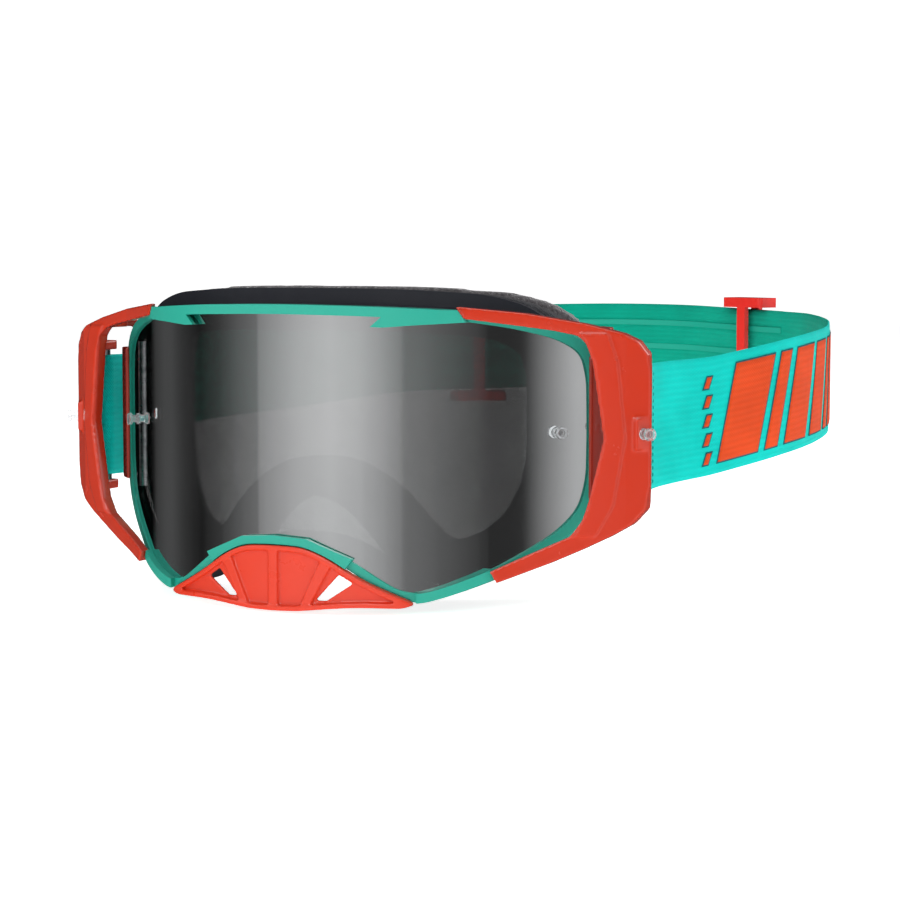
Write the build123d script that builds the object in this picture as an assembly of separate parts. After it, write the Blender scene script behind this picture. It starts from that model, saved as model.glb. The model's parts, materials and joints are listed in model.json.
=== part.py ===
from build123d import *
from math import cos, radians, sin, tan
import os

os.makedirs("parts", exist_ok=True)

# Goggles, in millimetres. +Z is up, the wearer looks along -Y, and X = 0 is the mid-plane.
# The origin is on the mid-plane where the face foam meets the brow, level with the tear-off posts.

# lens: a bent sheet, round in the middle and straight at its two wings
LENS_RADIUS = 87.0
LENS_APEX_Y = -45.0
LENS_AXIS_Y = LENS_APEX_Y + LENS_RADIUS
WING_ANGLE = 48.0
WING_LENGTH = 37.9
LENS_THICKNESS = 1.2
LENS_TUCK = 1.6
LENS_GROOVE_GAP = 0.15

# front rim, the ring that holds the lens; depths are measured outward from the lens surface
RIM_BACK = -4.0
RIM_LIP = 0.9
RIM_WIDTH = 3.2
RIM_END = 4.8
TRIM_TOP = 3.0
TRIM_GAP = 0.05
CHIN_INNER_X = 46.6
# slanted joints where the trims meet the outriggers, as (x, z) on the joint's line
BROW_JOINT = ((47.5, 60.0), (64.3, 30.0))
CHIN_JOINT = ((58.0, -30.0), (74.5, -60.0))

# face side: foam rings that lie on one upright cylinder, the shape of a face
FACE_RADIUS = 109.0
FACE_REACH = 60.0
TEMPLE_Y = 60.0
FOAM_DEPTH = 18.0
FOAM_LAYERS = (("foam_fleece", 0.0, 4.5), ("foam_core", 4.5, 11.5), ("foam_base", 11.5, FOAM_DEPTH))
FOAM_WIDTH = 13.5
FOAM_GAP = 0.3
FLANGE = 2.0
FLANGE_GAP = 0.05
FLANGE_INSET = 0.8
SKIRT_WALL = 2.2
SKIRT_INSET = 0.4
VENT_FOAM_THICKNESS = 3.0
VENT_FOAM_GAP = 0.1
# slots cut for air, as (x, y, z) of the middle and (width, depth, height)
TOP_VENTS = tuple(((x, -28.0 + abs(x) * 0.12, 42.0), (20.0, 9.0, 14.0)) for x in (-44.0, -15.0, 15.0, 44.0))
LOW_VENTS = tuple(((x, -14.5, -50.0), (12.0, 6.0, 14.0)) for x in (-58.0, 58.0))

# tear-off posts
POST_HEAD_RADIUS = 2.1
POST_STEM_RADIUS = 1.3
POST_STEM = 1.9
POST_HEAD = 1.3
POST_FOOT_RADIUS = 2.0
POST_FOOT = 0.6
POST_ALONG_WING = 25.6
PUSH_NUT_RADIUS = 3.2
PUSH_NUT = 0.7

# nose guard, clipped in front of the rim's tongue; depths outward from the lens surface
GUARD_BACK = 0.3
GUARD_FACE = 1.5
PEG_X = 6.0
PEG_Z = -44.0
PEG_RADIUS = 1.5
PEG_LENGTH = 1.7

# outriggers
OUTRIGGER_DEPTH = 4.6
RIB_RAISE = 1.7
CLIP_DEPTHS = (2.3, 0.95, -3.9)
CLIP_ALONG = (-1.4, 5.0, 7.0)
RAIL_DEPTH = -2.0
SIDE_Z_TOP = 25.5
SIDE_Z_LOW = -23.0
WEB_TOP_Z = (33.0, 35.4)
BOSS_HEIGHT = 10.5
BOSS_WIDTH = 6.4
BOSS_DEPTH = 4.0
BOSS_FACE = (110.6, 7.8)
BOSS_TILT = 30.0

# strap
PIN_X = 104.5
PIN_Y = 18.0
PIN_RADIUS = 1.5
PIN_LENGTH = 54.0
STRAP_THICKNESS = 1.5
STRAP_END_HEIGHT = 44.4
STRAP_BACK_HEIGHT = 38.0
DOUBLER_GAP = 0.15
GRIP_THICKNESS = 0.4
LOOP_CLEARANCE = 0.35
LOOP_TAIL = 14.0
LUG_SIZE = 6.0
LUG_Z = (24.2, 27.6)

# sliders
SLIDER_X = 65.0
SLIDER_Z = 15.7
SLIDER_LENGTH = 25.0
SLIDER_FLANGE = 4.2
SLIDER_DEPTH = 3.2
SLIDER_STEM = 5.0
SLIDER_GAP = 1.0
SLIDER_BAR = 2.2

# half outlines seen from the front, as (x, z) from the top middle round to the bottom middle
OPENING = (
    (0.0, 40.3), (33.0, 39.6), (57.0, 38.2), (72.0, 35.0), (82.5, 31.2), (88.2, 26.5),
    (89.8, 18.0), (90.0, 0.0), (89.8, -16.0), (87.8, -26.0), (82.5, -33.2), (75.5, -38.8),
    (66.5, -45.0), (55.0, -49.9), (47.0, -52.2), (40.5, -51.0), (34.0, -46.6), (26.5, -41.2),
    (18.0, -36.6), (9.0, -34.4), (0.0, -34.0),
)
FACE_OUTLINE = (
    (0.0, 49.2), (35.0, 48.8), (60.0, 47.0), (73.0, 42.6), (81.5, 34.0), (85.0, 20.0),
    (85.4, -2.0), (83.0, -22.0), (76.0, -38.0), (64.0, -48.6), (50.0, -53.0), (37.0, -51.0),
    (27.0, -43.0), (18.5, -32.0), (10.0, -25.0), (0.0, -22.6),
)
OUTRIGGER_OUTER = (
    (57.3, 42.7), (76.0, 40.4), (93.0, 36.9), (104.0, 33.7), (108.4, 31.0), (111.2, 26.5),
    (112.0, 20.0), (112.0, -17.0), (110.8, -25.5), (107.0, -30.4), (101.0, -34.2),
    (92.7, -38.5), (83.6, -42.8), (68.7, -49.0),
)
OUTRIGGER_INNER = (
    (66.6, -45.2), (75.0, -40.9), (82.5, -37.2), (89.2, -34.0), (92.9, -28.6), (94.6, -22.5),
    (98.8, -1.5), (95.6, 24.0), (94.0, 30.2), (91.0, 32.9), (84.0, 34.6), (59.6, 38.6),
)
GUARD_HALF = (
    (0.0, -36.4), (11.0, -36.9), (19.0, -40.2), (28.5, -46.4), (37.0, -50.9), (44.4, -54.4),
    (45.4, -55.8), (42.5, -56.8), (30.0, -56.4), (21.0, -56.9), (9.0, -58.2), (0.0, -58.4),
)

# plan of the outriggers' front face, as (x, y)
OUTRIGGER_PLAN = (
    (53.0, -30.7), (57.3, -27.9), (76.0, -14.2), (92.8, -3.4), (101.0, 1.4), (105.6, 4.4),
    (112.6, 10.6),
)

# the strap's middle line in plan, right half, as (x, y); the long run carries the slider
STRAP_ROUTE = (
    (101.6, PIN_Y + 17.7), (101.4, 46.0), (107.0, 60.0), (119.0, 82.0), (130.0, 104.0),
    (134.5, 125.0), (132.0, 158.0), (122.0, 196.0), (108.0, 231.0), (94.6, 257.2), (30.4, 296.2),
    (9.0, 301.5),
)
SLIDER_RUN = (STRAP_ROUTE[-3], STRAP_ROUTE[-2])

# the strap's lower and upper edges seen from the side, as (y, z low, z high)
STRAP_EDGES = (
    (14.0, -22.2, 22.2), (42.0, -22.0, 22.0), (70.0, -19.3, 23.0), (105.0, -13.6, 28.4),
    (125.0, -11.6, 30.4), (200.0, -8.8, 33.2), (262.0, -3.8, 34.2), (310.0, -1.5, 36.5),
)
BACK_Y = 262.0

BIG = 400.0
MIN_TURN = 0.002
ARC_SHARE = 0.45


def wing_direction():
    return cos(radians(WING_ANGLE)), sin(radians(WING_ANGLE))


def lens_point(depth, along):
    """Plan point at a distance along the wing from where it starts, depth outward of the lens."""
    tx, ty = wing_direction()
    start_x = (LENS_RADIUS + depth) * ty
    start_y = LENS_AXIS_Y - (LENS_RADIUS + depth) * tx
    return start_x + along * tx, start_y + along * ty


def lens_band(inner, outer, along=WING_LENGTH + 20.0):
    """Upright slab that follows the lens plan between two depths."""
    def side(depth):
        a = lens_point(depth, along)
        b = lens_point(depth, 0.0)
        return a, b, (0.0, LENS_AXIS_Y - LENS_RADIUS - depth)
    ao, bo, mo = side(outer)
    ai, bi, mi = side(inner)
    flip = lambda p: (-p[0], p[1])
    edges = [
        Line(flip(ao), flip(bo)),
        ThreePointArc(flip(bo), mo, bo),
        Line(bo, ao),
        Line(ao, ai),
        Line(ai, bi),
        ThreePointArc(bi, mi, flip(bi)),
        Line(flip(bi), flip(ai)),
        Line(flip(ai), flip(ao)),
    ]
    face = make_face(Curve() + edges)
    return Pos(0, 0, -100) * extrude(face, 200, dir=(0, 0, 1))


def behind_lens(depth):
    """Everything behind the lens plan at a depth, as an upright block."""
    along = WING_LENGTH + 60.0
    far = lens_point(depth, along)
    bend = lens_point(depth, 0.0)
    edges = [
        Line((-far[0], far[1]), (-bend[0], bend[1])),
        ThreePointArc((-bend[0], bend[1]), (0.0, LENS_APEX_Y - depth), bend),
        Line(bend, far),
        Line(far, (far[0], 120.0)),
        Line((far[0], 120.0), (-far[0], 120.0)),
        Line((-far[0], 120.0), (-far[0], far[1])),
    ]
    return Pos(0, 0, -100) * extrude(make_face(Curve() + edges), 200, dir=(0, 0, 1))


def tangent_arcs(points, closed):
    """Edges along a chain of plan points: straight runs joined by the widest arcs that fit."""
    count = len(points)
    corners = []
    for i in range(count) if closed else range(1, count - 1):
        before, at, after = (Vector(*points[(i + step) % count]) for step in (-1, 0, 1))
        into = (at - before).normalized()
        out = (after - at).normalized()
        turn = radians(into.get_angle(out))
        if turn < MIN_TURN:
            continue
        reach = ARC_SHARE * min((at - before).length, (after - at).length)
        chord_middle = at + (out - into) * (reach / 2)
        toward = (at - chord_middle).normalized()
        half_chord = reach * cos(turn / 2)
        middle = chord_middle + toward * (half_chord * tan(turn / 4))
        corners.append((at - into * reach, middle, at + out * reach))
    edges = []
    if closed:
        last = corners[-1][2]
    else:
        last = Vector(*points[0])
    for start, middle, end in corners:
        edges.append(Line(last, start))
        edges.append(ThreePointArc(start, middle, end))
        last = end
    if not closed:
        edges.append(Line(last, Vector(*points[-1])))
    return edges


def smooth_outline(half):
    """Closed face on the XZ plane from half an outline and its mirror image."""
    left = [(-x, z) for x, z in reversed(half) if x > 0]
    return Plane.XZ * make_face(Curve() + tangent_arcs(list(half) + left, True))


def through_y(face):
    return extrude(Pos(0, BIG / 2, 0) * face, BIG, dir=(0, -1, 0))


def polygon_y(points):
    """Prism along Y with a straight-sided outline given as (x, z)."""
    return through_y(Plane.XZ * make_face(Polyline(*points, close=True)))


def polygon_z(points, low, high):
    """Upright prism with a straight-sided plan given as (x, y)."""
    face = make_face(Polyline(*points, close=True))
    return Pos(0, 0, low) * extrude(face, high - low, dir=(0, 0, 1))


def grown(face, amount):
    return offset(face, amount, kind=Kind.ARC)


def flipped(shape):
    return mirror(shape, Plane.YZ)


def single(shape):
    """The largest solid of a result, so slivers never reach the file."""
    return max(shape.solids(), key=lambda s: s.volume)


opening = smooth_outline(OPENING)
lens_outline = grown(opening, LENS_TUCK)
rim_outline = grown(opening, RIM_WIDTH)
guard_outline = smooth_outline(GUARD_HALF)
face_outline = smooth_outline(FACE_OUTLINE)
eye_outline = grown(face_outline, -FOAM_WIDTH)


def make_lens():
    return single(through_y(lens_outline) & lens_band(-LENS_THICKNESS, 0.0))


def make_front_rim():
    ring = through_y(rim_outline) & lens_band(RIM_BACK, RIM_LIP, WING_LENGTH + RIM_END)
    groove = through_y(grown(opening, LENS_TUCK + LENS_GROOVE_GAP))
    groove = groove & lens_band(-LENS_THICKNESS - 0.05, 0.05)
    tongue = polygon_y([(-10.0, -35.0), (10.0, -35.0), (8.5, -48.5), (-8.5, -48.5)])
    ring = ring - through_y(opening) + (tongue & lens_band(-2.6, 0.2) - through_y(opening))
    pocket = through_y(grown(guard_outline, 0.5)) & lens_band(GUARD_BACK - 0.1, 6.0)
    return single(ring - groove - pocket - guard_pegs(PEG_RADIUS + 0.05, 2 * PEG_LENGTH + 8))


def make_brow_trim():
    bar = through_y(rim_outline) - through_y(opening)
    hooks = Part()
    hook = ((38.8, 41.5), (33.2, 36.1), (37.0, 35.9), (46.0, 36.6), (60.0, 37.4), (60.0, 41.5))
    for sign in (1, -1):
        hooks += polygon_y([(sign * x, z) for x, z in hook])
    bar = (bar + hooks) & lens_band(RIM_LIP + TRIM_GAP, TRIM_TOP)
    keep = polygon_y([(-BROW_JOINT[1][0], BROW_JOINT[1][1]), BROW_JOINT[1], BROW_JOINT[0],
                      (-BROW_JOINT[0][0], BROW_JOINT[0][1])])
    return single(bar & keep)


def make_nose_trim():
    """Arch over the nose with two pointed ears that lap over the lens."""
    arch = [(0.0, -33.2), (12.0, -34.0), (27.3, -40.4), (25.0, -43.6), (12.0, -39.0), (0.0, -38.4)]
    arch = arch + [(-x, z) for x, z in reversed(arch) if x > 0]
    bar = polygon_y(arch) & lens_band(RIM_LIP + TRIM_GAP, TRIM_TOP - 0.4)
    return single(bar - through_y(grown(guard_outline, 0.4)))


def make_chin_trim():
    bar = through_y(rim_outline) - through_y(opening)
    bar = bar & lens_band(RIM_LIP + TRIM_GAP, TRIM_TOP - 0.2)
    keep = polygon_y([(CHIN_INNER_X, CHIN_JOINT[1][1]), (CHIN_INNER_X, CHIN_JOINT[0][1]), *CHIN_JOINT])
    return single(bar & keep - through_y(grown(guard_outline, 0.5)))


def face_band(near, far):
    """Upright ring slab whose two faces are the face cylinder moved forward by near and far."""
    low = Pos(0, FACE_RADIUS, 0)
    return low * (Cylinder(FACE_RADIUS + far, 200) - Cylinder(FACE_RADIUS + near, 200))


def front_half():
    """Everything in front of the wearer's temples."""
    return Pos(0, TEMPLE_Y - BIG / 2, 0) * Box(BIG, BIG, BIG)


def make_foam(near, far):
    ring = through_y(face_outline) - through_y(eye_outline)
    return single(ring & face_band(near, far) & front_half() & behind_lens(RIM_BACK - FOAM_GAP))


def make_face_frame():
    """Wall from the rim back to the foam, and the flange that the foam is glued to."""
    wall = through_y(grown(opening, RIM_WIDTH - SKIRT_INSET))
    wall = wall - through_y(grown(opening, RIM_WIDTH - SKIRT_INSET - SKIRT_WALL))
    space = behind_lens(RIM_BACK) & face_band(FOAM_DEPTH + FLANGE_GAP, FACE_REACH) & front_half()
    flange = through_y(grown(face_outline, -FLANGE_INSET))
    flange = flange - through_y(grown(face_outline, FLANGE_INSET - FOAM_WIDTH))
    flange = flange & face_band(FOAM_DEPTH + FLANGE_GAP, FOAM_DEPTH + FLANGE)
    body = (wall & space) + (flange & behind_lens(RIM_BACK) & front_half())
    for middle, size in TOP_VENTS + LOW_VENTS:
        body = body - Pos(*middle) * Box(*size)
    return single(body)


def vent_ring():
    """Thin ring of open-cell foam just inside the frame's wall."""
    outside = RIM_WIDTH - SKIRT_INSET - SKIRT_WALL - VENT_FOAM_GAP
    ring = through_y(grown(opening, outside)) - through_y(grown(opening, outside - VENT_FOAM_THICKNESS))
    rear = Pos(0, FACE_RADIUS, 0) * Cylinder(FACE_RADIUS + FOAM_DEPTH + FLANGE + 0.5, 200)
    return ring & behind_lens(RIM_BACK - 1.0) - rear


def make_vent_foam_top():
    return single(vent_ring() & Pos(0, 0, 60) * Box(116.0, 80.0, 60))


def make_vent_foam_low():
    keep = Pos(58, -14, -50) * Box(18.0, 30.0, 20) + Pos(-58, -14, -50) * Box(18.0, 30.0, 20)
    return vent_ring() & keep


def guard_pegs(radius, length):
    """The two pegs that clip the nose guard into the tongue below the rim."""
    pegs = Part()
    for x in (-PEG_X, PEG_X):
        pegs += Pos(x, LENS_APEX_Y - GUARD_BACK, PEG_Z) * Rot(90, 0, 0) * Cylinder(radius, length)
    return pegs


def make_guard():
    sheet = through_y(guard_outline)
    plate = sheet & lens_band(GUARD_BACK, GUARD_FACE)
    rim = (sheet - through_y(grown(guard_outline, -1.7))) & lens_band(GUARD_BACK, GUARD_FACE + 1.7)
    ribs = polygon_y([(-1.7, -58.4), (1.7, -58.4), (1.7, -36.4), (-1.7, -36.4)])
    for sign in (1, -1):
        ribs += polygon_y([(sign * x, z) for x, z in
                           ((9.0, -58.0), (12.2, -58.0), (20.0, -43.4), (16.6, -41.4))])
    ribs = ribs & sheet & lens_band(GUARD_BACK, GUARD_FACE + 1.3)
    body = plate + rim + ribs + (guard_pegs(PEG_RADIUS, 2 * PEG_LENGTH) & behind_lens(GUARD_FACE))
    for sign in (1, -1):
        slot = ((22.4, -45.8), (27.0, -48.6), (18.4, -54.5), (14.6, -54.5))
        body = body - polygon_y([(sign * x, z) for x, z in slot])
    return single(body)


def outrigger_slab(depth):
    front = list(OUTRIGGER_PLAN)
    back = [(x - depth * 0.42, y + depth * 0.91) for x, y in front]
    return polygon_z(front + back[::-1], -90, 90)


def make_outrigger():
    outline = list(OUTRIGGER_OUTER) + list(OUTRIGGER_INNER)
    band = polygon_y(outline) & outrigger_slab(OUTRIGGER_DEPTH)
    chevron = ((99.8, -1.5), (96.4, 24.0), (92.6, 33.6), (100.4, 33.6), (103.2, 24.0), (105.4, -1.5),
               (102.0, -24.0), (97.0, -34.0), (91.0, -34.0), (94.9, -24.0))
    raised = polygon_y(chevron)
    raised = raised & (Pos(-0.42 * RIB_RAISE, -0.91 * RIB_RAISE, 0) * outrigger_slab(RIB_RAISE + 0.6))
    band = band + raised
    front, seat, rear = CLIP_DEPTHS
    near, wall, far = (WING_LENGTH + along for along in CLIP_ALONG)
    side = polygon_z([lens_point(front, near), lens_point(front, far), lens_point(rear, far),
                      lens_point(rear, wall), lens_point(seat, wall), lens_point(seat, near)],
                     SIDE_Z_LOW, SIDE_Z_TOP)
    rail = polygon_z([lens_point(RAIL_DEPTH, wall), lens_point(RAIL_DEPTH, far), lens_point(rear, far),
                      lens_point(rear, wall)], SIDE_Z_LOW, WEB_TOP_Z[1])
    web_plan = [(92.0, 0.0), (98.0, 3.2), (99.0, 8.0), (98.0, 12.5), lens_point(rear, far),
                lens_point(rear, wall), (91.0, 8.0)]
    body = band + side + rail + polygon_z(web_plan, *WEB_TOP_Z)
    for low, high in (LUG_Z, (-LUG_Z[1], -LUG_Z[0])):
        lug = [(PIN_X - LUG_SIZE / 2, 4.0), (PIN_X + LUG_SIZE / 2, 7.0),
               (PIN_X + LUG_SIZE / 2, PIN_Y + 3.0), (PIN_X - LUG_SIZE / 2, PIN_Y + 3.0)]
        body = body + polygon_z(lug, low, high)
    body = body + boss_place() * Pos(0, 0, -BOSS_DEPTH / 2) * Box(BOSS_HEIGHT, BOSS_WIDTH, BOSS_DEPTH)
    body = body - boss_place() * Pos(0, 0, 5.0) * Cylinder(POST_FOOT_RADIUS + 0.4, 10.0)
    body = body - Pos(PIN_X, PIN_Y, 0) * Cylinder(PIN_RADIUS + 0.03, PIN_LENGTH + 0.1)
    body = body - lens_band(-60.0, RIM_LIP + 0.05, WING_LENGTH + RIM_END + 0.05)
    return single(body)


def make_post():
    """A tear-off post along +Z from its seat at z = 0, with its shank below."""
    post = Pos(0, 0, POST_FOOT / 2) * Cylinder(POST_FOOT_RADIUS, POST_FOOT)
    post += Pos(0, 0, POST_FOOT + POST_STEM / 2) * Cylinder(POST_STEM_RADIUS, POST_STEM)
    post += Pos(0, 0, POST_FOOT + POST_STEM + POST_HEAD / 2) * Cylinder(POST_HEAD_RADIUS, POST_HEAD)
    post += Pos(0, 0, -1.6) * Cylinder(POST_STEM_RADIUS, 3.2)
    return post


def pin_through(place, length):
    return place * Pos(0, 0, -length / 2) * Cylinder(POST_STEM_RADIUS + 0.05, length + 0.2)


def wing_place():
    """Where a lens post sits: on the wing, its axis square to the lens."""
    x, y = lens_point(0.0, POST_ALONG_WING)
    tx, ty = wing_direction()
    return Location(Plane(origin=(x, y, 0), x_dir=(0, 0, 1), z_dir=(ty, -tx, 0)))


def boss_place():
    """Where an outrigger post sits: on the boss's face, pointing outward and a little forward."""
    x, y = BOSS_FACE
    tilt = radians(BOSS_TILT)
    return Location(Plane(origin=(x, y, 0), x_dir=(0, 0, 1), z_dir=(cos(tilt), -sin(tilt), 0)))


def strap_middle():
    """Middle line of the strap from its right sewn end, round the back, to its left one."""
    left = [(-x, y) for x, y in reversed(STRAP_ROUTE)]
    return tangent_arcs(list(STRAP_ROUTE) + left, False)


def parallel(edges, shift):
    """Lines and arcs parallel to a chain, to its left by shift."""
    def moved(edge, t):
        p = edge.position_at(t)
        d = edge.tangent_at(t)
        return p.X - d.Y * shift, p.Y + d.X * shift
    result = []
    for edge in edges:
        if edge.geom_type == GeomType.LINE:
            result.append(Line(moved(edge, 0), moved(edge, 1)))
        else:
            result.append(ThreePointArc(moved(edge, 0), moved(edge, 0.5), moved(edge, 1)))
    return result


def ribbon(edges, low, high):
    """Upright wall in plan between two parallels of a chain of edges."""
    a = parallel(edges, low)
    b = parallel(edges, high)
    first = Line(a[0].position_at(0), b[0].position_at(0))
    last = Line(a[-1].position_at(1), b[-1].position_at(1))
    face = make_face(Curve() + [*a, last, *b, first])
    return Pos(0, 0, -BIG / 4) * extrude(face, BIG / 2, dir=(0, 0, 1))


def strap_heights(share=1.0):
    """Prism along X between the strap's edges, or between a share of its height about the middle."""
    def edge(sign):
        return [(y, (low + high) / 2 + sign * share * (high - low) / 2)
                for y, low, high in STRAP_EDGES]
    upper = edge(1)
    lower = edge(-1)
    ends = [Line(upper[0], lower[0]), Line(upper[-1], lower[-1])]
    chains = tangent_arcs(upper, False) + tangent_arcs(lower, False)
    face = Plane.YZ * make_face(Curve() + [*chains, *ends])
    return extrude(Pos(-BIG / 2, 0, 0) * face, BIG, dir=(1, 0, 0))


def back_run(edges):
    return [e for e in edges if min(e.position_at(0).Y, e.position_at(1).Y) > BACK_Y]


def make_grips():
    """Silicone print: lines along the inner face of the strap's back."""
    inner = STRAP_THICKNESS / 2
    wall = ribbon(back_run(strap_middle()), inner, inner + GRIP_THICKNESS)
    lines = wall & (strap_heights(0.62) - strap_heights(0.50))
    return lines + (wall & strap_heights(0.06))


def make_strap_end():
    """Loop of doubled webbing round the pin, sewn flat where it leaves it."""
    inner = PIN_RADIUS + LOOP_CLEARANCE
    outer = inner + STRAP_THICKNESS
    loop = Pos(PIN_X, PIN_Y) * Circle(outer)
    end_y = PIN_Y + 3.4 + LOOP_TAIL
    tail_x = STRAP_ROUTE[0][0]
    tail = make_face(Polyline((PIN_X - outer, PIN_Y), (PIN_X + 1.0, PIN_Y + 2.0),
                              (tail_x + STRAP_THICKNESS, end_y - 9.0), (tail_x + STRAP_THICKNESS, end_y),
                              (tail_x - STRAP_THICKNESS, end_y), (tail_x - STRAP_THICKNESS, end_y - 9.0),
                              close=True))
    plan = loop + tail - Pos(PIN_X, PIN_Y) * Circle(inner)
    return Pos(0, 0, -STRAP_END_HEIGHT / 2) * extrude(plan, STRAP_END_HEIGHT, dir=(0, 0, 1))


def slider_place(x):
    """On the strap's long run at x, with the slider's length along the run."""
    (x0, y0), (x1, y1) = SLIDER_RUN
    y = y0 + (y1 - y0) * (x - x0) / (x1 - x0)
    return Location(Plane(origin=(x, y, SLIDER_Z), x_dir=(x1 - x0, y1 - y0, 0), z_dir=(0, 0, 1)))


def make_slider(x):
    """I-shaped slider: a flange above and below the strap, and a stem across each face."""
    room = STRAP_BACK_HEIGHT / 2 + SLIDER_GAP
    flange = Box(SLIDER_LENGTH, 2 * SLIDER_DEPTH + 4.0, SLIDER_FLANGE)
    flange = fillet(flange.edges().filter_by(Axis.Z), 2.0)
    body = Part()
    for sign in (1, -1):
        body += Pos(0, 0, sign * (room + SLIDER_FLANGE / 2)) * flange
        body += Pos(0, sign * (SLIDER_DEPTH + 0.9), 0) * Box(SLIDER_STEM, SLIDER_BAR, 2 * room + 2)
    return slider_place(x) * body


def save(shape, name):
    export_step(shape, f"parts/{name}.step")
    box = shape.bounding_box()
    print(name, len(shape.solids()), round(shape.volume, 1), [round(v, 1) for v in (*box.min, *box.max)])


def build_all():
    pieces = {}
    post_holes = pin_through(wing_place(), 8)
    lens = make_lens() - post_holes - flipped(post_holes)
    pieces["lens"] = lens
    pieces["front_rim"] = make_front_rim()
    pieces["brow_trim"] = make_brow_trim()
    chin = make_chin_trim()
    pieces["nose_trim"] = make_nose_trim()
    pieces["chin_trim_right"] = chin
    pieces["chin_trim_left"] = flipped(chin)
    pieces["face_frame"] = make_face_frame()
    pieces["vent_foam_top"] = make_vent_foam_top()
    pieces["vent_foam_low"] = make_vent_foam_low()
    for name, near, far in FOAM_LAYERS:
        pieces[name] = make_foam(near, far)
    pieces["nose_guard"] = make_guard()
    outrigger = make_outrigger() - pin_through(boss_place(), 8)
    pieces["outrigger_right"] = outrigger
    pieces["outrigger_left"] = flipped(outrigger)
    for name, place in (("lens_post", wing_place()), ("outrigger_post", boss_place())):
        post = place * make_post()
        pieces[name + "_right"] = post
        pieces[name + "_left"] = flipped(post)
    nut = wing_place() * Pos(0, 0, -LENS_THICKNESS - 0.05 - PUSH_NUT / 2) * Cylinder(PUSH_NUT_RADIUS, PUSH_NUT)
    nut = nut - pin_through(wing_place(), 8)
    pieces["push_nuts"] = nut + flipped(nut)
    pin = Pos(PIN_X, PIN_Y, 0) * Cylinder(PIN_RADIUS, PIN_LENGTH)
    pieces["strap_pin_right"] = pin
    pieces["strap_pin_left"] = flipped(pin)
    end = make_strap_end()
    pieces["strap_end_right"] = end
    pieces["strap_end_left"] = flipped(end)
    half = STRAP_THICKNESS / 2
    edges = strap_middle()
    pieces["strap_band"] = single(ribbon(edges, -half, half) & strap_heights())
    doubler = ribbon(back_run(edges), -half - DOUBLER_GAP - STRAP_THICKNESS, -half - DOUBLER_GAP)
    pieces["strap_doubler"] = single(doubler & strap_heights())
    pieces["silicone_grips"] = make_grips()
    slider = make_slider(SLIDER_X)
    pieces["slider_right"] = slider
    pieces["slider_left"] = flipped(slider)
    return pieces


if __name__ == "__main__":
    for piece_name, piece in build_all().items():
        save(piece, piece_name)
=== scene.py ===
import json
from math import atan2, cos, pi, radians, sin, tan

import bmesh
import bpy
import numpy as np
from mathutils import Matrix, Vector


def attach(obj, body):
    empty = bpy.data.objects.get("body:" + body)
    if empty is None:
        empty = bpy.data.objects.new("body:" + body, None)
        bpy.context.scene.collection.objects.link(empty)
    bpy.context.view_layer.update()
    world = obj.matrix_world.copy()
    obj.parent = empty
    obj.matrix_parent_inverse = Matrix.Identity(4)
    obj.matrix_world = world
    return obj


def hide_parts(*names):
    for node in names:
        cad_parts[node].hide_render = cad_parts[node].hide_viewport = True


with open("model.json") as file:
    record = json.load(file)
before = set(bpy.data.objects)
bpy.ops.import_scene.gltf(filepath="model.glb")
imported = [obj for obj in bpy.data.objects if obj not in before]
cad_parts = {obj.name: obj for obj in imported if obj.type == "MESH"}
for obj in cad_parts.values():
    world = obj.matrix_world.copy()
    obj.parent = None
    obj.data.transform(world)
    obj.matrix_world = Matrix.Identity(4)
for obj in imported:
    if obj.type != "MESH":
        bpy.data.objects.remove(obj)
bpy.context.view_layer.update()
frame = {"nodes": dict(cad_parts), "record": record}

MM = 0.001
scene = bpy.context.scene
scene.view_settings.view_transform = "Standard"

# the strap, in millimetres, as the frame has it: plan of its right half, and its two edges by depth
STRAP_ROUTE = ((101.6, 35.7), (101.4, 46.0), (107.0, 60.0), (119.0, 82.0), (130.0, 104.0),
               (134.5, 125.0), (132.0, 158.0), (122.0, 196.0), (108.0, 231.0), (94.6, 257.2),
               (30.4, 296.2), (9.0, 301.5))
STRAP_EDGES = ((14.0, -22.2, 22.2), (42.0, -22.0, 22.0), (70.0, -19.3, 23.0), (105.0, -13.6, 28.4),
               (125.0, -11.6, 30.4), (200.0, -8.8, 33.2), (262.0, -3.8, 34.2), (310.0, -1.5, 36.5))
WEBBING = 1.5            # thickness
WEAVE_HEIGHT = 42.0      # height of webbing that the weave's UVs stand for
COLUMNS = 14             # columns of mesh on each face of the webbing
PIN = (104.5, 18.0)
LOOP_RADIUS = 2.6
END_HALF_HEIGHT = 22.2
DOUBLER_Y = 264.5        # the doubled length lies behind this

# camera, in metres
CAMERA = Vector((0.3801, -0.7563, 0.0624))
CAMERA_AZIMUTH = 24.0
CAMERA_ELEVATION = 4.79
FOCAL_MM = 97.3
FLOOR_Z = -0.0592


def srgb(red, green, blue):
    """A display colour from 0 to 255 as the linear colour that shaders take."""
    def linear(value):
        value = value / 255
        return value / 12.92 if value <= 0.04045 else ((value + 0.055) / 1.055) ** 2.4
    return linear(red), linear(green), linear(blue), 1.0


def shade(color, amount):
    return tuple(min(1.0, c * amount) for c in color[:3]) + (1.0,)


# ---------------------------------------------------------------- materials

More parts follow.
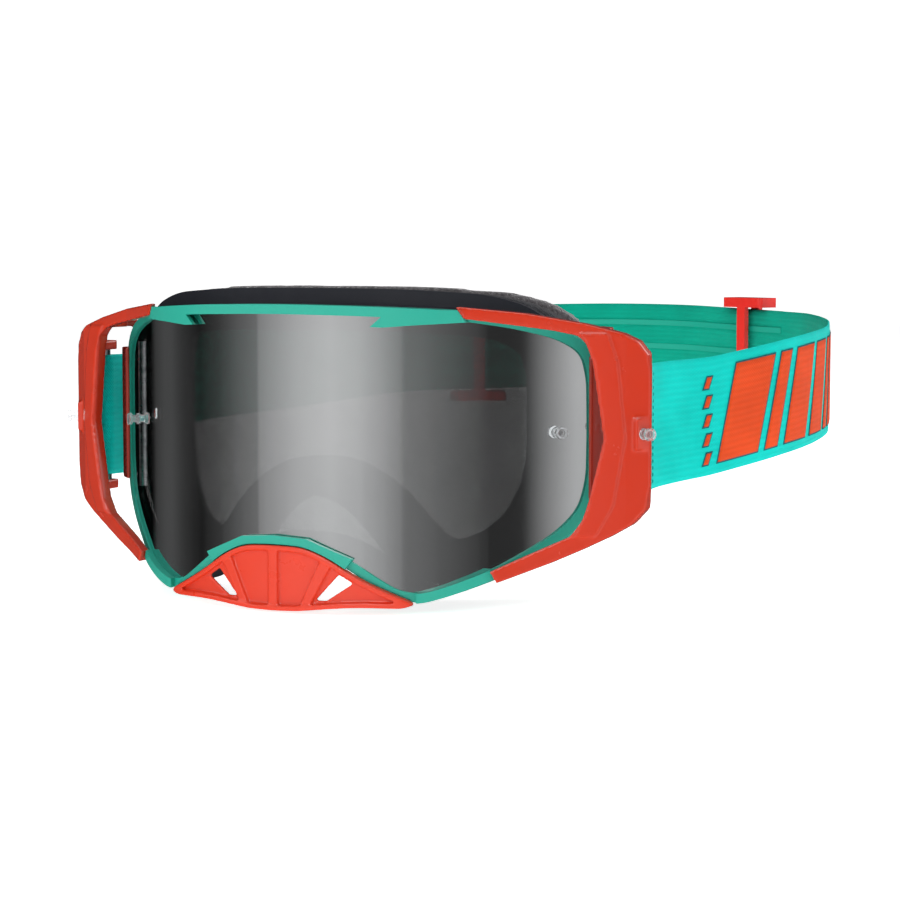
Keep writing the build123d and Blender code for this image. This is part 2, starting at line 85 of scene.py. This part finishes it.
class Nodes:
    """A node tree, with short ways to add and join its nodes."""

    def __init__(self, owner):
        owner.use_nodes = True
        self.tree = owner.node_tree
        self.place = self.add("TexCoord")

    def add(self, kind, **values):
        node = self.tree.nodes.new("ShaderNode" + kind)
        for key, value in values.items():
            name = key.replace("_", " ")
            if name in node.inputs:
                node.inputs[name].default_value = value
            else:
                setattr(node, key, value)
        return node

    def join(self, output, target):
        self.tree.links.new(output, target)

    def math(self, operation, first, second):
        node = self.add("Math", operation=operation)
        for socket, value in zip(node.inputs, (first, second)):
            if isinstance(value, (int, float)):
                socket.default_value = value
            else:
                self.join(value, socket)
        return node.outputs[0]

    def spread(self, factor, **ends):
        node = self.add("MapRange", **ends)
        self.join(factor, node.inputs["Value"])
        return node.outputs["Result"]


class Look(Nodes):
    """A material under construction, with its shader."""

    def __init__(self, name):
        self.material = bpy.data.materials.new(name)
        super().__init__(self.material)
        self.shader = self.tree.nodes["Principled BSDF"]

    def set(self, **values):
        for key, value in values.items():
            self.shader.inputs[key.replace("_", " ")].default_value = value

    def noise(self, scale, detail=4.0):
        node = self.add("TexNoise", Scale=scale, Detail=detail)
        self.join(self.place.outputs["Object"], node.inputs["Vector"])
        return node.outputs["Fac"]

    def color(self, factor, dark, light, start=0.35, end=0.65):
        ramp = self.add("ValToRGB")
        for element, place, value in zip(ramp.color_ramp.elements, (start, end), (dark, light)):
            element.position = place
            element.color = value
        self.join(factor, ramp.inputs["Fac"])
        self.join(ramp.outputs["Color"], self.shader.inputs["Base Color"])

    def darken(self, attribute, amount):
        """Painted shade: multiplies the colour down where the mesh's attribute is 1."""
        mask = self.add("Attribute", attribute_name=attribute)
        socket = self.shader.inputs["Base Color"]
        mix = self.add("Mix", data_type="RGBA", blend_type="MULTIPLY")
        self.join(mask.outputs["Fac"], mix.inputs[0])
        self.join(socket.links[0].from_socket, mix.inputs[6])
        mix.inputs[7].default_value = (amount, amount, amount, 1.0)
        self.join(mix.outputs[2], socket)

    def roughness(self, factor, low, high):
        self.join(self.spread(factor, To_Min=low, To_Max=high), self.shader.inputs["Roughness"])

    def bump(self, height, distance, strength=1.0):
        node = self.add("Bump", Distance=distance, Strength=strength)
        self.join(height, node.inputs["Height"])
        previous = self.shader.inputs["Normal"].links
        if previous:
            self.join(previous[0].from_socket, node.inputs["Normal"])
        self.join(node.outputs["Normal"], self.shader.inputs["Normal"])

    def bands(self, axis, pitch):
        """A sine wave along a UV axis, its pitch in metres."""
        split = self.add("SeparateXYZ")
        self.join(self.place.outputs["UV"], split.inputs[0])
        return self.math("SINE", self.math("MULTIPLY", split.outputs[axis], 2 * pi / pitch), 0.0)


def plastic(name, color, rough, coat=0.5, grain=0.00002, recess_shade=None):
    """Moulded plastic: faint flow marks, colour darker in creases (painted shade) and pale along sharp
    edges, painted shade where a mask attribute is given, a fine moulded grain, a gloss coat.
    """
    look = Look(name)
    # painted shade: low pointiness, in creases and hollows, takes the colour toward the darker end; sharp
    # edges stay at the pale end
    edge = look.add("NewGeometry").outputs["Pointiness"]
    flow = look.math("MULTIPLY", look.noise(35.0), 0.5)
    flow_and_crease_shade = look.math("ADD", look.math("MULTIPLY", edge, 1.6), flow)
    look.color(flow_and_crease_shade, shade(color, 0.9), shade(color, 1.07), 0.85, 1.0)
    # painted shade: the colour is multiplied down where the mesh's mask attribute is set
    if recess_shade:
        look.darken(recess_shade, 0.42)
    look.roughness(look.noise(160.0), rough * 0.7, rough * 1.35)
    look.bump(look.noise(1800.0, 2.0), grain)
    look.set(Coat_Weight=coat, Coat_Roughness=0.08)
    return look.material


def webbing(name, color, rib=0.0011, thread=0.0007):
    """Woven elastic: lengthwise ribs crossed by picks, soft sheen, uneven dye."""
    look = Look(name)
    weave = look.math("MULTIPLY", look.bands("Y", rib), look.bands("X", thread))
    ribs = look.math("MULTIPLY", look.bands("Y", rib * 2), 0.6)
    height = look.math("ADD", weave, ribs)
    dye = look.math("ADD", look.math("MULTIPLY", height, 0.12), look.noise(60.0, 6.0))
    look.color(dye, shade(color, 0.86), shade(color, 1.06), 0.25, 0.75)
    look.roughness(look.noise(300.0), 0.55, 0.8)
    look.bump(height, 0.00012, 0.8)
    look.set(Sheen_Weight=0.04, Sheen_Roughness=0.4, Specular_IOR_Level=0.12)
    return look.material


def foam_skin(name, color, cell, depth, sheen=0.2):
    """Foam: small cells in a matte skin, mottled."""
    look = Look(name)
    cells = look.add("TexVoronoi", Scale=1.0 / cell)
    look.join(look.place.outputs["Object"], cells.inputs["Vector"])
    look.color(look.noise(90.0, 6.0), shade(color, 0.75), shade(color, 1.25))
    look.roughness(look.noise(200.0), 0.6, 0.85)
    look.bump(cells.outputs["Distance"], depth)
    look.set(Sheen_Weight=sheen, Sheen_Roughness=0.5)
    return look.material


def fleece_nap(name, color):
    """Brushed fleece: short tangled nap over a mottled ground."""
    look = Look(name)
    nap = look.noise(900.0, 8.0)
    look.color(nap, shade(color, 0.45), shade(color, 1.5), 0.3, 0.7)
    look.roughness(look.noise(120.0), 0.85, 1.0)
    look.bump(nap, 0.0009)
    look.bump(look.noise(240.0, 6.0), 0.0008)
    look.set(Sheen_Weight=0.8, Sheen_Roughness=0.5)
    return look.material


def mirror_lens(name):
    """Silver mirror coat over smoke: slightly see-through, with faint unevenness in the coat."""
    look = Look(name)
    look.color(look.noise(14.0, 3.0), srgb(226, 228, 229), srgb(238, 239, 240))
    look.roughness(look.noise(40.0), 0.02, 0.04)
    look.set(Metallic=1.0, Alpha=0.855)
    return look.material


def clear_plastic(name):
    look = Look(name)
    look.color(look.noise(500.0), srgb(232, 236, 238), srgb(250, 252, 253))
    look.roughness(look.noise(300.0), 0.04, 0.12)
    look.bump(look.noise(700.0), 0.00003)
    look.set(Transmission_Weight=0.85, IOR=1.5)
    return look.material


def drawn_steel(name):
    look = Look(name)
    look.color(look.noise(400.0), srgb(140, 141, 144), srgb(190, 191, 194))
    look.roughness(look.noise(900.0), 0.2, 0.4)
    look.bump(look.noise(2500.0), 0.00001)
    look.set(Metallic=1.0)
    return look.material


# the outriggers' orange, with painted shade in the clip's recess beside the lens
ORANGE = plastic("outrigger_orange", srgb(204, 50, 20), 0.24, 0.8, recess_shade="recess_shade")
GUARD_ORANGE = plastic("guard_orange", srgb(226, 60, 32), 0.3, 0.5)
TEAL = plastic("frame_teal", srgb(34, 170, 148), 0.4, 0.25)
DARK = plastic("frame_navy", srgb(26, 28, 40), 0.5, 0.2)
RED = plastic("slider_red", srgb(246, 46, 38), 0.33, 0.5)
CYAN_WEB = webbing("strap_outer", srgb(0, 224, 212))
GREEN_WEB = webbing("strap_inner", srgb(0, 178, 150))
PRINT_ORANGE = webbing("print_orange", srgb(244, 84, 36), 0.0011, 0.0009)
PRINT_DARK = webbing("print_outline", srgb(40, 110, 116), 0.0011, 0.0009)
THREAD = webbing("stitch_thread", srgb(10, 150, 148), 0.0004, 0.0003)
FOAM = foam_skin("foam_navy", srgb(22, 25, 34), 0.0005, 0.00012, 0.08)
FOAM_MID = foam_skin("foam_charcoal", srgb(32, 33, 41), 0.0008, 0.0003, 0.1)
VENT = foam_skin("vent_open_cell", srgb(40, 40, 44), 0.0012, 0.0006)
FLEECE = fleece_nap("fleece_grey", srgb(86, 83, 86))
LENS = mirror_lens("mirror_smoke")
CLEAR = clear_plastic("post_clear")
STEEL = drawn_steel("pin_steel")
SILICONE = plastic("silicone_print", srgb(2, 170, 145), 0.5, 0.0)


# ---------------------------------------------------------------- pieces from the frame

def paint(node, material):
    piece = frame["nodes"][node]
    piece.data.materials.clear()
    piece.data.materials.append(material)


def body_of(node):
    return next(body for body, nodes in frame["record"]["behaviour"]["bodies"].items() if node in nodes)


def new_piece(name, mesh):
    piece = bpy.data.objects.new(name, mesh)
    scene.collection.objects.link(piece)
    return piece


def settle(piece):
    """Applies the modifiers, so that the mesh is the final one."""
    graph = bpy.context.evaluated_depsgraph_get()
    mesh = bpy.data.meshes.new_from_object(piece.evaluated_get(graph))
    piece.modifiers.clear()
    piece.data = mesh
    mesh.shade_smooth()


def stands_for(piece, material, *nodes):
    piece.data.materials.clear()
    piece.data.materials.append(material)
    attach(piece, body_of(nodes[0]))
    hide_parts(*nodes)


def remeshed(node, name, voxel, rounds):
    """A copy of a node with its edges rounded, as a mould leaves them."""
    mesh = frame["nodes"][node].data.copy()
    work = bmesh.new()
    work.from_mesh(mesh)
    bmesh.ops.remove_doubles(work, verts=work.verts, dist=1e-6)
    work.to_mesh(mesh)
    work.free()
    piece = new_piece(name, mesh)
    remesh = piece.modifiers.new("remesh", "REMESH")
    remesh.mode = "VOXEL"
    remesh.voxel_size = voxel
    smooth = piece.modifiers.new("smooth", "SMOOTH")
    smooth.factor = 0.5
    smooth.iterations = rounds
    settle(piece)
    return piece


def points_of(mesh):
    co = np.empty(len(mesh.vertices) * 3)
    mesh.vertices.foreach_get("co", co)
    return co.reshape(-1, 3)


def move_points(mesh, co):
    mesh.vertices.foreach_set("co", co.ravel())
    mesh.update()


# the lens's straight wings, in millimetres: where they start in plan, their angle, and the clip's reach
WING_START = (64.65, -16.2)
WING_ANGLE = 48.0
RECESS_DEPTH = 3.2
RECESS_ALONG = 46.5


def paint_recess_shade(mesh):
    """Paints shade on the clip beside the lens, which lies deep in the outrigger's shade: a mask
    attribute, 1 where the orange is to be darkened.
    """
    co = points_of(mesh) / MM
    across = abs(co[:, 0]) - WING_START[0]
    back = co[:, 1] - WING_START[1]
    turn = radians(WING_ANGLE)
    along = across * cos(turn) + back * sin(turn)
    depth = across * sin(turn) - back * cos(turn)
    outward = np.array([vertex.normal for vertex in mesh.vertices])
    facing = abs(outward[:, 0]) * sin(turn) - outward[:, 1] * cos(turn)
    # painted shade: full in the clip's recess, fading over its edges, only on faces that look out the
    # same way as the lens
    recess_shade_amount = np.clip((RECESS_DEPTH - depth) / 1.2, 0, 1) * np.clip((RECESS_ALONG - along) / 2.0, 0, 1)
    recess_shade_amount = recess_shade_amount * np.clip((facing - 0.6) / 0.3, 0, 1)
    recess_shade_layer = mesh.attributes.new("recess_shade", "FLOAT", "POINT")
    recess_shade_layer.data.foreach_set("value", recess_shade_amount)


def moulded():
    """Outriggers and nose guard with rounded edges."""
    for side in ("left", "right"):
        shell = remeshed("outrigger_" + side, "outrigger_shell_" + side, 0.55 * MM, 4)
        # paints shade into the clip's recess through a mask attribute
        paint_recess_shade(shell.data)
        shell.visible_glossy = False
        stands_for(shell, ORANGE, "outrigger_" + side)
    guard = remeshed("nose_guard", "nose_guard_shell", 0.4 * MM, 3)
    stands_for(guard, GUARD_ORANGE, "nose_guard")


FOAM_WAVES = (95, 60, 130)     # radians a metre of the foam's unevenness, along x, y and z


def foam_layer(node, name, material, inset, swell):
    """A piece of foam with soft edges, drawn in by an inset and made a little uneven."""
    piece = remeshed(node, name, 1.5 * MM, 6)
    co = points_of(piece.data)
    low, high = co.min(0), co.max(0)
    middle = (low + high) / 2
    half = (high - low) / 2
    offset = co - middle
    for axis in (0, 2):
        offset[:, axis] *= 1 - inset * MM / half[axis]
    co = middle + offset
    across, along, up = FOAM_WAVES
    wave = np.sin(co[:, 0] * across) * np.sin(co[:, 2] * up + co[:, 1] * along)
    normals = np.array([v.normal for v in piece.data.vertices])
    co = co + normals * (wave * swell * MM)[:, None]
    move_points(piece.data, co)
    piece.data.shade_smooth()
    stands_for(piece, material, node)


def foams():
    foam_layer("foam_fleece", "foam_fleece_pad", FLEECE, 0.0, 0.25)
    foam_layer("foam_core", "foam_core_pad", FOAM_MID, 1.3, 0.15)
    foam_layer("foam_base", "foam_base_pad", FOAM, 2.6, 0.1)
    foam_layer("vent_foam_top", "vent_foam_top_pad", VENT, 0.1, 0.05)
    foam_layer("vent_foam_low", "vent_foam_low_pad", VENT, 0.1, 0.05)


# ---------------------------------------------------------------- webbing

def rounded_route(points, step=1.5, share=0.45):
    """Points a step apart along straight runs joined by tangent arcs, as rows of x, y."""
    points = [np.array(p, float) for p in points]
    rows = [points[0]]

    def run(start, end):
        count = max(1, int(np.linalg.norm(end - start) / step))
        rows.extend(start + (end - start) * i / count for i in range(1, count + 1))

    for before, at, after in zip(points, points[1:], points[2:]):
        into = at - before
        out = after - at
        reach = share * min(np.linalg.norm(into), np.linalg.norm(out))
        into = into / np.linalg.norm(into)
        out = out / np.linalg.norm(out)
        turn = atan2(into[0] * out[1] - into[1] * out[0], into @ out)
        start = at - into * reach
        run(rows[-1], start)
        if abs(turn) < 1e-3:
            continue
        radius = reach / tan(abs(turn) / 2)
        side = 1 if turn > 0 else -1
        centre = start + np.array((-into[1], into[0])) * side * radius
        count = max(2, int(radius * abs(turn) / step))
        for i in range(1, count + 1):
            angle = turn * i / count
            spoke = start - centre
            rows.append(centre + np.array((spoke[0] * cos(angle) - spoke[1] * sin(angle),
                                           spoke[0] * sin(angle) + spoke[1] * cos(angle))))
    run(rows[-1], points[-1])
    return np.array(rows)


class Band:
    """A length of webbing: a plan path, its two edges, and a way from (distance, height) to a place."""

    def __init__(self, path, low, high):
        self.path = path
        steps = np.diff(path, axis=0)
        self.run = np.r_[0, np.cumsum(np.hypot(steps[:, 0], steps[:, 1]))]
        tangent = np.gradient(path, self.run, axis=0)
        tangent /= np.linalg.norm(tangent, axis=1)[:, None]
        self.inward = np.c_[-tangent[:, 1], tangent[:, 0]]
        self.low = low
        self.high = high
        self.length = self.run[-1]

    def at(self, distance, height, shift):
        """Places at a share of the height, shifted inward of the middle line, in metres."""
        xy = [np.interp(distance, self.run, self.path[:, k]) for k in (0, 1)]
        n = [np.interp(distance, self.run, self.inward[:, k]) for k in (0, 1)]
        low = np.interp(distance, self.run, self.low)
        high = np.interp(distance, self.run, self.high)
        return np.stack([xy[0] + n[0] * shift, xy[1] + n[1] * shift,
                         low + (high - low) * height], -1) * MM


def smooth_edges(y):
    table = np.array(STRAP_EDGES)
    fine = np.linspace(table[0, 0], table[-1, 0], 600)
    width = 35
    kernel = np.hanning(width) / np.hanning(width).sum()
    edges = []
    for column in (1, 2):
        values = np.interp(fine, table[:, 0], table[:, column])
        padded = np.pad(values, width // 2, mode="edge")
        edges.append(np.interp(y, fine, np.convolve(padded, kernel, mode="valid")))
    return edges


def grid_mesh(name, places, uvs, closed):
    """Mesh from rows of places; closed joins the last column to the first and caps both ends."""
    rows, columns = places.shape[:2]
    wrap = columns if closed else columns - 1
    faces = []
    for i in range(rows - 1):
        for j in range(wrap):
            k = (j + 1) % columns
            faces.append((i * columns + j, i * columns + k, (i + 1) * columns + k, (i + 1) * columns + j))
    if closed:
        faces.append(tuple(range(columns))[::-1])
        faces.append(tuple((rows - 1) * columns + j for j in range(columns)))
    mesh = bpy.data.meshes.new(name)
    mesh.from_pydata([tuple(p) for p in places.reshape(-1, 3)], [], faces)
    layer = mesh.uv_layers.new(name="weave")
    flat = uvs.reshape(-1, 2)
    for loop in mesh.loops:
        layer.data[loop.index].uv = flat[loop.vertex_index]
    mesh.validate()
    mesh.shade_smooth()
    return mesh


def webbing_mesh(name, band, shift=0.0, ripple=0.0):
    """Closed webbing with full faces and pinched selvedges."""
    half = WEBBING / 2
    heights = np.linspace(0.008, 0.992, COLUMNS)
    ring_height = np.r_[heights, 1.0, heights[::-1], 0.0]
    ring_depth = np.r_[np.full(COLUMNS, -half), 0.0, np.full(COLUMNS, half), 0.0]
    selvedge = np.clip(np.minimum(ring_height, 1 - ring_height) / 0.05, 0.72, 1)
    ring_depth = ring_depth * selvedge
    s, h = np.meshgrid(band.run, ring_height, indexing="ij")
    wave = ripple * np.sin(s / 17.0 + 1.3) * np.sin(h * pi * 1.4 + s / 60.0)
    depth = shift + ring_depth[None, :] + wave
    places = band.at(s, h, depth)
    uvs = np.stack([s * MM, h * WEAVE_HEIGHT * MM], -1)
    mesh = grid_mesh(name, places, uvs, True)
    mesh.materials.append(CYAN_WEB)
    mesh.materials.append(GREEN_WEB)
    return mesh


def colour_inner_face(mesh):
    """Gives the webbing's inner face its own dye; the outer face and the cut ends keep the first."""
    around = 2 * COLUMNS + 2
    for polygon in mesh.polygons:
        column = min(v % around for v in polygon.vertices)
        inner = len(polygon.vertices) == 4 and COLUMNS <= column < 2 * COLUMNS + 1
        polygon.material_index = 1 if inner else 0


def strap_band():
    left = [(-x, y) for x, y in reversed(STRAP_ROUTE)]
    path = rounded_route(list(STRAP_ROUTE) + left)
    return Band(path, *smooth_edges(path[:, 1]))


def part_band(whole, start, end):
    """The stretch of a band between two distances."""
    keep = (whole.run >= start) & (whole.run <= end)
    return Band(whole.path[keep], whole.low[keep], whole.high[keep])


def ride_as_webbing(piece, node):
    """Puts a piece of webbing in its node's place, out of the lens's reflections."""
    piece.visible_glossy = False
    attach(piece, body_of(node))
    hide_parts(node)


def make_strap(band):
    """The strap all the way round, and the doubled length inside its back."""
    mesh = webbing_mesh("strap_webbing", band, ripple=0.12)
    colour_inner_face(mesh)
    piece = new_piece("strap_webbing", mesh)
    ride_as_webbing(piece, "strap_band")

    back = band.run[band.path[:, 1] > DOUBLER_Y]
    doubler = part_band(band, back[0], back[-1])
    mesh = webbing_mesh("strap_doubler_webbing", doubler, -WEBBING - 0.15)
    colour_inner_face(mesh)
    piece = new_piece("strap_doubler_webbing", mesh)
    ride_as_webbing(piece, "strap_doubler")


def make_end(sign):
    """The sewn end: webbing up to the pin, round it and back, in one piece."""
    side = "right" if sign > 0 else "left"
    end_x, end_y = STRAP_ROUTE[0]
    half = WEBBING / 2 + 0.02
    inner = [(end_x - half, end_y - 0.5), (end_x - half, end_y - 9.0), (end_x - half + 0.1, PIN[1] + 6.0)]
    outer = [(end_x + half + 0.9, PIN[1] + 6.5), (end_x + half, end_y - 8.0), (end_x + half, end_y - 0.5)]
    circle = [(PIN[0] + LOOP_RADIUS * cos(a), PIN[1] + LOOP_RADIUS * sin(a))
              for a in np.radians(np.linspace(170, 385, 26))]
    path = np.array([(sign * x, y) for x, y in inner + circle + outer])
    edge = np.full(len(path), END_HALF_HEIGHT)
    band = Band(path, -edge, edge)
    mesh = webbing_mesh("strap_end_webbing_" + side, band)
    piece = new_piece("strap_end_webbing_" + side, mesh)
    ride_as_webbing(piece, "strap_end_" + side)


# ---------------------------------------------------------------- printing and stitching

def print_bar(band, start, width, low, high, lean, lift, grow, side):
    """One printed bar: a grid of places over (start..start+width) x (low..high), leaning."""
    columns = max(2, int((width + 2 * grow) / 1.5) + 1)
    u = np.linspace(-grow, width + grow, columns)
    v = np.linspace(low - grow / WEAVE_HEIGHT, high + grow / WEAVE_HEIGHT, 15)
    s, h = np.meshgrid(u, v, indexing="ij")
    share = (h - low) / (high - low)
    distance = start + s + lean * share
    if side < 0:
        distance = band.length - distance
    return band.at(distance, h, -WEBBING / 2 - lift), distance, h


# the strap's print, plain bars in mm along the strap and shares of its height:
# (start, width, low, high, lean), first a column of dashes and then the slanted bars
PRINT = [(34.0, 2.2, 0.10 + 0.16 * i, 0.19 + 0.16 * i, 1.6) for i in range(5)]
PRINT += [(start, width, 0.10, 0.90, 9.0)
          for start, width in ((41.0, 20.0), (65.0, 6.5), (76.0, 15.0), (95.5, 17.0), (117.0, 6.5),
                               (128.0, 13.0), (146.0, 9.0), (160.0, 6.0), (171.0, 4.0))]
PRINT_LAYERS = (("outline", 0.16, 0.55, PRINT_DARK), ("fill", 0.3, 0.0, PRINT_ORANGE))
INK = 0.12


def make_print(band):
    """The bars on both sides of the strap: a dark outline layer, and the fill just above it."""
    for label, lift, grow, material in PRINT_LAYERS:
        for side, name in ((1, "right"), (-1, "left")):
            work = bmesh.new()
            layer = work.loops.layers.uv.new("weave")
            for start, width, low, high, lean in PRINT:
                places, s, h = print_bar(band, start, width, low, high, lean, lift, grow, side)
                rows, columns = places.shape[:2]
                points = [[work.verts.new(places[i, j]) for j in range(columns)] for i in range(rows)]
                for i in range(rows - 1):
                    for j in range(columns - 1):
                        corners = [(i, j), (i + 1, j), (i + 1, j + 1), (i, j + 1)]
                        if side < 0:
                            corners.reverse()
                        face = work.faces.new([points[a][b] for a, b in corners])
                        for loop, (a, b) in zip(face.loops, corners):
                            loop[layer].uv = (s[a, b] * MM, h[a, b] * WEAVE_HEIGHT * MM)
            mesh = bpy.data.meshes.new(f"strap_print_{label}_{name}")
            work.to_mesh(mesh)
            work.free()
            mesh.shade_smooth()
            piece = new_piece(mesh.name, mesh)
            thick = piece.modifiers.new("thickness", "SOLIDIFY")
            thick.thickness = INK * MM
            thick.offset = 0.0
            settle(piece)
            piece.data.materials.clear()
            piece.data.materials.append(material)
            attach(piece, "goggles")


STITCH_ROWS = (2.0, 5.0)       # mm from the webbing's end
STITCHES = 17
STITCH_PITCH = 0.053           # share of the height
STITCH_LENGTH = 0.034
STITCH_FOOT = 0.05
STITCH_RADIUS = 0.28


def stitch(work, start, end, radius):
    """One thread stitch: a stretched bead from start to end."""
    along = end - start
    turn = Vector((0, 0, 1)).rotation_difference(along).to_matrix().to_4x4()
    size = Matrix.Diagonal((radius, radius, along.length / 2, 1))
    place = Matrix.Translation((start + end) / 2) @ turn @ size
    bmesh.ops.create_icosphere(work, subdivisions=1, radius=1.0, matrix=place)


def make_stitching(band):
    """Rows of stitches across the webbing where its ends are sewn, on the outside."""
    work = bmesh.new()
    for side in (1, -1):
        for distance in STITCH_ROWS:
            for i in range(STITCHES):
                foot = STITCH_FOOT + i * STITCH_PITCH
                heights = np.array([foot, foot + STITCH_LENGTH])
                s = np.full(2, distance if side > 0 else band.length - distance)
                a, b = band.at(s, heights, -WEBBING / 2 - 0.05)
                stitch(work, Vector(a), Vector(b), STITCH_RADIUS * MM)
    mesh = bpy.data.meshes.new("strap_stitching")
    work.to_mesh(mesh)
    work.free()
    mesh.shade_smooth()
    mesh.materials.append(THREAD)
    piece = new_piece("strap_stitching", mesh)
    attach(piece, "goggles")


# ---------------------------------------------------------------- studio

def area_light(name, place, target, size, watts):
    light = bpy.data.lights.new(name, "AREA")
    light.shape = "RECTANGLE"
    light.size = size
    light.size_y = size
    light.energy = watts
    lamp = bpy.data.objects.new(name, light)
    lamp.location = place
    lamp.rotation_euler = (Vector(target) - Vector(place)).to_track_quat("-Z", "Y").to_euler()
    lamp.visible_camera = False
    scene.collection.objects.link(lamp)


# the stage, in metres
STAGE_COLOR = (0.93, 0.93, 0.93, 1.0)
ROOM_RADIUS = 3.0
COVE = 1.4
WALL_TOP = 7.0
CENTRE_RADIUS = 0.0002
FLOOR_GLOW = 0.88
WALL_GLOW = 0.95


def stage_material(name, color, glow):
    look = Look(name)
    look.color(look.noise(3.0), shade(color, 0.985), color)
    look.roughness(look.noise(20.0), 0.85, 0.95)
    look.set(Emission_Color=color, Emission_Strength=glow)
    return look.material


def make_stage():
    """A pale floor and a pale wall that curves up all the way round it."""
    turns = np.radians(np.arange(0, 361, 7.5))
    bends = np.radians(np.arange(0, 91, 9))
    floor = [(CENTRE_RADIUS, 0.0), (ROOM_RADIUS, 0.0)]
    wall = [(ROOM_RADIUS + COVE * sin(a), COVE - COVE * cos(a)) for a in bends]
    wall.append((ROOM_RADIUS + COVE, WALL_TOP))
    for name, glow, line in (("floor", FLOOR_GLOW, floor), ("backdrop", WALL_GLOW, wall)):
        places = np.array([[(r * cos(t), r * sin(t), FLOOR_Z + z) for r, z in line] for t in turns])
        mesh = grid_mesh(name, places, places[..., :2] * 0.1, False)
        mesh.materials.append(stage_material(name + "_pale", STAGE_COLOR, glow))
        piece = new_piece(name, mesh)
        piece.visible_glossy = False
        piece.visible_diffuse = name == "floor"


# brightness of the studio by degrees round from straight ahead: soft boxes with dark gaps
STUDIO = ((-180, 0.10), (-150, 0.02), (-126, 0.0), (-118, 0.05), (-105, 0.08), (-98, 0.08), (-86, 0.04),
          (-73, 0.015), (-60, 0.05), (-47, 0.13), (-38, 0.19), (-36.5, 0.29), (-16, 0.51), (-1, 0.60),
          (12, 0.53), (22, 0.40), (31, 0.26), (33, 0.19), (41, 0.16), (50, 0.12), (60, 0.085), (68, 0.06),
          (73, 0.03), (104, 0.03), (112, 0.12), (140, 0.10), (180, 0.10))
# one more box, at the side, whose near edge is finer than the ramp's steps
SIDE_BOX = 0.52
SIDE_BOX_START = (73.75, 75.0)
SIDE_BOX_END = (104.0, 112.0)


def studio_world():
    """Ambient light whose brightness changes with the direction round the object."""
    world = bpy.data.worlds.new("studio")
    nodes = Nodes(world)
    split = nodes.add("SeparateXYZ")
    nodes.join(nodes.place.outputs["Generated"], split.inputs[0])
    ahead = nodes.math("MULTIPLY", split.outputs["Y"], -1.0)
    turn = nodes.math("ARCTAN2", split.outputs["X"], ahead)
    ramp = nodes.add("ValToRGB")
    nodes.join(nodes.spread(turn, From_Min=-pi, From_Max=pi), ramp.inputs["Fac"])
    stops = ramp.color_ramp.elements
    while len(stops) < len(STUDIO):
        stops.new(0.5)
    for stop, (degrees, level) in zip(stops, STUDIO):
        stop.position = (degrees + 180) / 360
        stop.color = (level, level, level, 1.0)
    start, full = (radians(degrees) for degrees in SIDE_BOX_START)
    fading, gone = (radians(degrees) for degrees in SIDE_BOX_END)
    rise = nodes.spread(turn, From_Min=start, From_Max=full, To_Min=0.0, To_Max=SIDE_BOX)
    fall = nodes.spread(turn, From_Min=fading, From_Max=gone, To_Min=1.0, To_Max=0.0)
    box = nodes.math("MULTIPLY", rise, fall)
    total = nodes.math("ADD", box, ramp.outputs["Color"])
    nodes.join(total, nodes.tree.nodes["Background"].inputs["Color"])
    return world


def make_lights():
    scene.world = studio_world()
    area_light("key_box", (0.45, -1.35, 1.05), (0.0, 0.0, 0.0), 1.1, 9.0)
    area_light("top_box", (0.0, 0.1, 1.3), (0.0, 0.05, 0.0), 1.3, 7.0)
    area_light("fill_box", (-1.1, -0.9, 0.5), (0.0, 0.0, 0.0), 1.0, 3.0)
    area_light("back_box", (0.9, 1.2, 0.7), (0.0, 0.1, 0.0), 0.9, 6.0)


def make_camera():
    data = bpy.data.cameras.new("camera")
    data.lens = FOCAL_MM
    data.sensor_width = 36.0
    camera = bpy.data.objects.new("camera", data)
    a = radians(CAMERA_AZIMUTH)
    e = radians(CAMERA_ELEVATION)
    back = Vector((sin(a) * cos(e), -cos(a) * cos(e), sin(e)))
    camera.location = CAMERA
    camera.rotation_euler = back.to_track_quat("Z", "Y").to_euler()
    scene.collection.objects.link(camera)
    scene.camera = camera


for rigid, material in (("front_rim", TEAL), ("brow_trim", TEAL), ("nose_trim", TEAL),
                        ("chin_trim_left", TEAL), ("chin_trim_right", TEAL), ("face_frame", DARK),
                        ("lens", LENS), ("push_nuts", CLEAR), ("strap_pin_left", STEEL),
                        ("strap_pin_right", STEEL), ("slider_left", RED), ("slider_right", RED),
                        ("lens_post_left", CLEAR), ("lens_post_right", CLEAR),
                        ("outrigger_post_left", CLEAR), ("outrigger_post_right", CLEAR),
                        ("silicone_grips", SILICONE)):
    paint(rigid, material)
moulded()
foams()
strap = strap_band()
make_strap(strap)
make_end(1)
make_end(-1)
make_print(strap)
make_stitching(strap)
make_stage()
make_lights()
make_camera()
